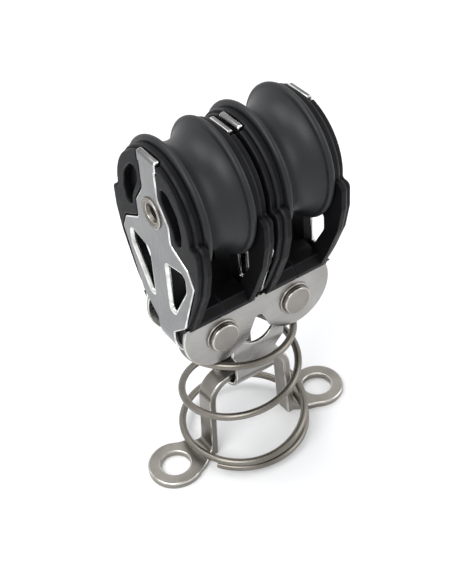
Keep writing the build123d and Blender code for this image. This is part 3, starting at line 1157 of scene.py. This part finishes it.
@dataclass
class Stand:
    """The saddle that bolts to the deck and the wire spring that stands loose round it.

    The start is in degrees, the lean is how far the spring's axis stands off the middle along
    X and Y, and over its ease, in turns, one pitch becomes the next.
    """

    saddle_edge: float = 0.25
    foot: float = 1.94
    top: float = 24.86
    wire: float = 0.64
    closed_rise: float = 1.32
    pitch: float = 11.3
    bottom_radius: float = 10.95
    top_radius: float = 9.3
    closed_turns: float = 1.12
    open_turns: float = 1.95
    top_turns: float = 0.75
    start: float = 211.0
    lean: Pair = (-0.6, 0.3)
    points: int = 480
    ease: float = 0.08
    wire_steps: int = 20

    def spring(self) -> Object:
        """The wire wound by its rule: closed turns at foot and top, open ones on a slight cone.

        Returns:
            The spring.
        """
        shape = NodeShape(
            "wire_spring",
            {
                "Points": self.points,
                "Wire": self.wire * MM,
                "Closed turns": self.closed_turns,
                "Open turns": self.open_turns,
                "Top turns": self.top_turns,
                "Start": math.radians(self.start),
                "Foot": self.foot * MM,
                "Top": self.top * MM,
                "Closed rise": self.closed_rise * MM,
                "Pitch": self.pitch * MM,
                "Bottom radius": self.bottom_radius * MM,
                "Top radius": self.top_radius * MM,
                "Across": self.lean[0] * MM,
                "Back": self.lean[1] * MM,
                "Ease": self.ease,
                "Finish": SPRING_STEEL.make(),
            },
        )
        tree, given, calc = shape.tree, shape.given, shape.calc
        line = add(tree, "GeometryNodeCurvePrimitiveLine")
        spacing = {"Curve": line.outputs[0], "Count": given["Points"]}
        even = add(tree, "GeometryNodeResampleCurve", spacing)
        share = add(tree, "GeometryNodeSplineParameter").outputs["Factor"]
        lower = calc("ADD", given["Closed turns"], given["Open turns"])
        turns = calc("MULTIPLY", share, calc("ADD", lower, given["Top turns"]))
        angle = calc("MULTIPLY_ADD", turns, 2 * math.pi, given["Start"])
        beyond = calc("SUBTRACT", turns, given["Closed turns"])
        past = calc("SMOOTH_MAX", beyond, 0.0, given["Ease"])
        shut = calc("MINIMUM", turns, given["Closed turns"])
        closed = calc("ADD", given["Foot"], calc("MULTIPLY", shut, given["Closed rise"]))
        rising = calc("ADD", closed, calc("MULTIPLY", past, given["Pitch"]))
        bend = calc("MULTIPLY", given["Ease"], given["Pitch"])
        height = calc("SMOOTH_MIN", rising, given["Top"], bend)
        narrowing = calc("SUBTRACT", given["Top radius"], given["Bottom radius"])
        up = calc("MINIMUM", calc("DIVIDE", past, given["Open turns"]), 1.0)
        radius = calc("MULTIPLY_ADD", up, narrowing, given["Bottom radius"])
        x = calc("MULTIPLY_ADD", radius, calc("COSINE", angle), given["Across"])
        y = calc("MULTIPLY_ADD", radius, calc("SINE", angle), given["Back"])
        course = {"Geometry": even.outputs[0], "Position": shape.place(x, y, height)}
        wound = add(tree, "GeometryNodeSetPosition", course)
        thickness = {"Resolution": self.wire_steps, "Radius": given["Wire"]}
        round_wire = add(tree, "GeometryNodeCurvePrimitiveCircle", thickness)
        drawn = {"Curve": wound.outputs[0], "Profile Curve": round_wire.outputs[0]}
        wire = add(tree, "GeometryNodeCurveToMesh", {**drawn, "Fill Caps": True})
        smooth = add(tree, "GeometryNodeSetShadeSmooth", {"Geometry": wire.outputs[0]})
        spring = shape.finished("spring_wound", smooth.outputs[0])
        spring.data.set_sharp_from_angle(angle=math.radians(WIRE_CREASE))
        return spring

    def build(self) -> None:
        """Makes both pieces; the saddle rides on the base."""
        saddle = relieved("saddle_pressed", cleaned("saddle"), self.saddle_edge)
        dress(saddle, SADDLE_STEEL, "base", "saddle_steel", "saddle")
        spring = self.spring()
        spring.data.materials.clear()
        spring.data.materials.append(SPRING_STEEL.make())
        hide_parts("spring")
        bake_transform(spring)
        LOG.info("%s bends between base and head: %d faces", spring.name, len(spring.data.polygons))


@dataclass
class Block:
    """One sheave of the pair with all that holds it."""

    side: Side

    def build(self) -> None:
        """Builds the block's pieces in the order they are put together."""
        for part in (Wheel(self.side), Axle(self.side), Shell(self.side), Rivet(self.side)):
            part.build()


@dataclass(frozen=True)
class Lamp:
    """A soft square lamp: where it hangs and its side in millimetres, its power in watts."""

    name: str
    place: tuple[float, float, float]
    size: float
    power: float

    def hang(self) -> None:
        """Adds the lamp, looking at the block's middle."""
        data = bpy.data.lights.new(self.name, "AREA")
        data.size = self.size * MM
        data.energy = self.power
        obj = new_object(self.name, data)
        aim = Vector((0, 0, AXLE_HEIGHT / 2)) - Vector(self.place)
        obj.rotation_mode = "QUATERNION"
        obj.rotation_quaternion = aim.to_track_quat("-Z", "Y")
        obj.location = Vector(self.place) * MM


@dataclass
class Studio:
    """Camera, lamps, pale floor and white surroundings.

    The camera's angles, in degrees, its distance and its pan from the axles' middle were
    fitted to the photograph.
    """

    azimuth: float = 31.33
    elevation: float = 41.26
    roll: float = -4.80
    distance: float = 173.837
    pan: Pair = (0.585, -17.052)
    focal_pixels: float = 1169.845
    picture: tuple[int, int] = (452, 584)
    sensor: float = 36.0
    clip: Pair = (0.005, 20.0)
    floor_radius: float = 240.0
    lamps: tuple[Lamp, ...] = (
        Lamp("key", (-260, -120, 340), 240, 0.9),
        Lamp("fill", (340, -220, 200), 260, 0.45),
        Lamp("top", (-40, 120, 440), 300, 0.8),
    )

    def camera(self) -> None:
        """Places the camera at the photograph's angle and distance."""
        a, e, r = (math.radians(v) for v in (self.azimuth, self.elevation, self.roll))
        back = Vector((-math.sin(a) * math.cos(e), -math.cos(a) * math.cos(e), math.sin(e)))
        level = (-back).cross(Vector((0, 0, 1))).normalized()
        upright = level.cross(-back)
        right = math.cos(r) * level + math.sin(r) * upright
        up = -math.sin(r) * level + math.cos(r) * upright
        place = back * self.distance - right * self.pan[0] + up * self.pan[1]
        place.z += AXLE_HEIGHT
        data = bpy.data.cameras.new("camera")
        data.lens = self.focal_pixels * self.sensor / max(self.picture)
        data.clip_start, data.clip_end = self.clip
        obj = new_object("camera", data)
        turn = Matrix((right, up, back)).transposed().to_4x4()
        obj.matrix_world = Matrix.Translation(place * MM) @ turn
        bpy.context.scene.camera = obj

    def surroundings(self) -> None:
        """Soft grey light from all round, shown white to the camera and in reflections."""
        world = bpy.data.worlds.new("surroundings")
        bpy.context.scene.world = world
        tree = emptied(world)
        rays = add(tree, "ShaderNodeLightPath").outputs
        seen = reckon(tree, "MAXIMUM", rays["Is Camera Ray"], rays["Is Glossy Ray"])
        seen = reckon(tree, "MAXIMUM", seen, rays["Is Transmission Ray"])
        light = add(tree, "ShaderNodeBackground", {"Color": linear("#eef0f3"), "Strength": 0.7})
        white = add(tree, "ShaderNodeBackground", {"Color": (1, 1, 1, 1), "Strength": 1.0})
        both = {0: seen, 1: light.outputs[0], 2: white.outputs[0]}
        mix = add(tree, "ShaderNodeMixShader", both)
        add(tree, "ShaderNodeOutputWorld", {"Surface": mix.outputs[0]})

    def floor(self) -> None:
        """A round pale floor under the feet, no wider than the lamps light it white."""
        shape = bmesh.new()
        bmesh.ops.create_circle(shape, cap_ends=True, segments=96, radius=self.floor_radius * MM)
        mesh = bpy.data.meshes.new("floor")
        shape.to_mesh(mesh)
        shape.free()
        obj = new_object("floor", mesh)
        material = bpy.data.materials.new("pale_floor")
        tree = emptied(material)
        shader = add(tree, "ShaderNodeBsdfDiffuse", {"Color": linear("#ffffff")})
        add(tree, "ShaderNodeOutputMaterial", {"Surface": shader.outputs[0]})
        mesh.materials.append(material)

    def build(self) -> None:
        """Sets up everything round the object."""
        self.camera()
        for lamp in self.lamps:
            lamp.hang()
        self.surroundings()
        self.floor()
        bpy.context.scene.view_settings.view_transform = "Standard"


def main() -> None:
    """Builds the block and its studio."""
    logging.basicConfig(level=logging.INFO, format="%(message)s")
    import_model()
    for side in Side:
        Block(side).build()
    Bracket().build()
    Stand().build()
    Studio().build()


if __name__ == "__main__":
    main()
